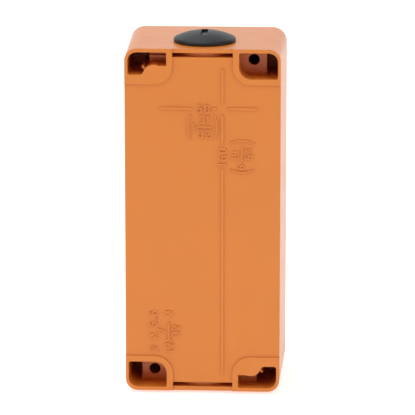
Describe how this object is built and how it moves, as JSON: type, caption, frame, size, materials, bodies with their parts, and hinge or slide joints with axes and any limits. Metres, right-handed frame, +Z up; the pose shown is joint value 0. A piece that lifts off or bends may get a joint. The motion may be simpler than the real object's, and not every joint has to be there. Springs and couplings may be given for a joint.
{
  "type": "ticket validator",
  "caption": "Wall-mounted paper ticket validator: moulded box with hinged cover, ticket slot, display, card target, roller feed and ribbon stamp, with a plugged top cable entry.",
  "frame": {"origin": "middle of the two wall screws, on the plane of the four rear pads", "axes": "+Z up, +Y towards the wall, the front with the ticket slot faces -Y"},
  "size_m": [0.0833, 0.0754, 0.1819],
  "materials": {
    "orange_plastic": "satin moulded, lightly spark-eroded texture",
    "black_plastic": "satin moulded",
    "dark_grey_plastic": "fine texture",
    "rubber_black": "matt",
    "zinc_steel": "zinc plated",
    "ground_steel": "ground",
    "brass": "turned",
    "bronze": "sintered",
    "clear_window": "polished, hard coated",
    "display_glass": "reflective display",
    "lens_red": "translucent",
    "lens_amber": "translucent",
    "lens_green": "translucent",
    "blue_plastic": "fine texture",
    "circuit_board": "solder resist",
    "copper": "bare",
    "white_plastic": "satin",
    "ink_tape": "inked nylon",
    "green_plastic": "satin",
    "chip_epoxy": "matt",
    "can_sleeve": "shrink sleeve"
  },
  "bodies": {
    "housing": {"rear_housing": "orange_plastic", "entry_plug": "black_plastic", "entry_plug_seal": "rubber_black", "entry_locknut": "black_plastic", "hinge_pins": "ground_steel", "latch_strikers": "zinc_steel", "small_screws": "zinc_steel", "mechanism_chassis": "zinc_steel", "chassis_screws": "zinc_steel", "shaft_bushes": "bronze", "lower_guide": "dark_grey_plastic", "upper_guide": "dark_grey_plastic", "platen": "ground_steel", "platen_pad": "rubber_black", "ticket_sensors": "chip_epoxy", "motor": "ground_steel", "solenoid_frame": "zinc_steel", "solenoid_coil": "copper", "stamp_spring": "ground_steel", "ribbon_cassette": "black_plastic", "cassette_thumbscrew": "brass", "ink_ribbon": "ink_tape", "main_board": "circuit_board", "terminal_block": "green_plastic", "board_chips": "chip_epoxy", "board_capacitors": "can_sleeve", "board_connectors": "white_plastic"},
    "cover": {"front_cover": "orange_plastic", "cover_seal": "rubber_black", "display_window": "clear_window", "display_module": "display_glass", "card_target": "blue_plastic", "reader_antenna": "copper", "lens_red": "lens_red", "lens_amber": "lens_amber", "lens_green": "lens_green", "ticket_mouth": "dark_grey_plastic", "front_board": "circuit_board", "front_board_screws": "zinc_steel", "button_switches": "chip_epoxy", "buzzer": "black_plastic", "button_springs": "ground_steel"},
    "upper_latch": {"upper_latch": "black_plastic"},
    "lower_latch": {"lower_latch": "black_plastic"},
    "left_button": {"left_button": "blue_plastic"},
    "right_button": {"right_button": "blue_plastic"},
    "drive": {"drive_shaft": "ground_steel", "drive_tyres": "rubber_black", "drive_gear": "white_plastic"},
    "pinch": {"pinch_shaft": "ground_steel", "pinch_rollers": "white_plastic"},
    "rotor": {"motor_shaft": "ground_steel", "motor_pinion": "brass"},
    "stamp": {"stamp_plunger": "ground_steel", "stamp_block": "ground_steel", "stamp_face": "rubber_black"},
    "supply": {"supply_spool": "white_plastic", "supply_tape": "ink_tape"},
    "take_up": {"take_up_spool": "white_plastic", "take_up_tape": "ink_tape"}
  },
  "joints": [
    {"name": "cover_hinge", "type": "hinge", "parent": "housing", "child": "cover", "pos_m": [0.0412, -0.0612, 0], "axis": [0, 0, 1], "range_deg": [0, 115]},
    {"name": "upper_latch_turn", "type": "hinge", "parent": "cover", "child": "upper_latch", "pos_m": [0.0242, -0.065, 0.0739], "axis": [0, 1, 0], "range_deg": [0, 90]},
    {"name": "lower_latch_turn", "type": "hinge", "parent": "cover", "child": "lower_latch", "pos_m": [-0.0242, -0.065, -0.0739], "axis": [0, 1, 0], "range_deg": [0, 90]},
    {"name": "left_button_press", "type": "slide", "parent": "cover", "child": "left_button", "axis": [0, 1, 0], "range_m": [0, 0.0012], "stiffness_N_per_m": 500, "springref_m": -0.001, "deforming": ["button_springs"]},
    {"name": "right_button_press", "type": "slide", "parent": "cover", "child": "right_button", "axis": [0, 1, 0], "range_m": [0, 0.0012], "stiffness_N_per_m": 500, "springref_m": -0.001, "deforming": ["button_springs"]},
    {"name": "drive_spin", "type": "hinge", "parent": "housing", "child": "drive", "pos_m": [0, -0.046, -0.04415], "axis": [1, 0, 0], "continuous": true},
    {"name": "pinch_spin", "type": "hinge", "parent": "housing", "child": "pinch", "pos_m": [0, -0.046, -0.03285], "axis": [1, 0, 0], "continuous": true},
    {"name": "motor_spin", "type": "hinge", "parent": "housing", "child": "rotor", "pos_m": [0.03, -0.03366, -0.05886], "axis": [1, 0, 0], "continuous": true},
    {"name": "stamp_stroke", "type": "slide", "parent": "housing", "child": "stamp", "axis": [0, 0, -1], "range_m": [0, 0.0031], "stiffness_N_per_m": 400, "springref_m": -0.002, "deforming": ["stamp_spring", "ink_ribbon"]},
    {"name": "take_up_spin", "type": "hinge", "parent": "housing", "child": "take_up", "pos_m": [0.0215, -0.03, -0.014], "axis": [0, 1, 0], "continuous": true},
    {"name": "supply_spin", "type": "hinge", "parent": "housing", "child": "supply", "pos_m": [-0.0215, -0.03, -0.014], "axis": [0, 1, 0], "continuous": true}
  ],
  "couplings": [
    {"joint": "motor_spin", "follows": "drive_spin", "ratio": -3},
    {"joint": "pinch_spin", "follows": "drive_spin", "ratio": -1.2},
    {"joint": "supply_spin", "follows": "take_up_spin", "ratio": 0.75}
  ]
}
